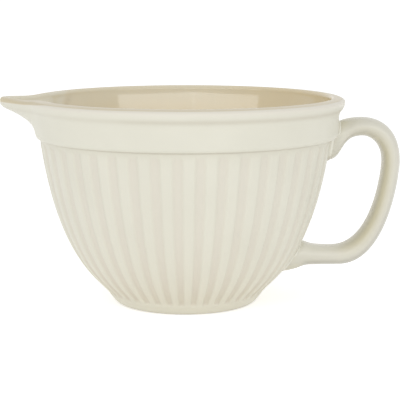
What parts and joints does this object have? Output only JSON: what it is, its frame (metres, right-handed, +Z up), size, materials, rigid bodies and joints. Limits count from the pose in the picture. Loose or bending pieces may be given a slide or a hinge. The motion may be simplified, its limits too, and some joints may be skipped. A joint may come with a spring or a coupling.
{
  "type": "batter_bowl",
  "caption": "Glazed stoneware batter bowl with a fluted wall, plain collar, rolled rim, pouring spout and loop handle; free-standing on a flat foot ring, for mixing and pouring.",
  "frame": {"origin": "The centre of the foot ring, on the table that the bowl rests on.", "axes": "+X points from the bowl to the handle and the spout points to -X; +Z points up, out of the open top; +Y follows from the right-hand rule and the part is the same on both sides of the XZ plane."},
  "size_m": [0.265, 0.2096, 0.1368],
  "materials": {
    "cream_glaze": "glossy",
    "tan_glaze": "glossy"
  },
  "bodies": {
    "root": {"bowl_body": "cream_glaze", "liner_glaze": "tan_glaze", "handle": "cream_glaze", "handle_slip": "cream_glaze"}
  },
  "joints": []
}
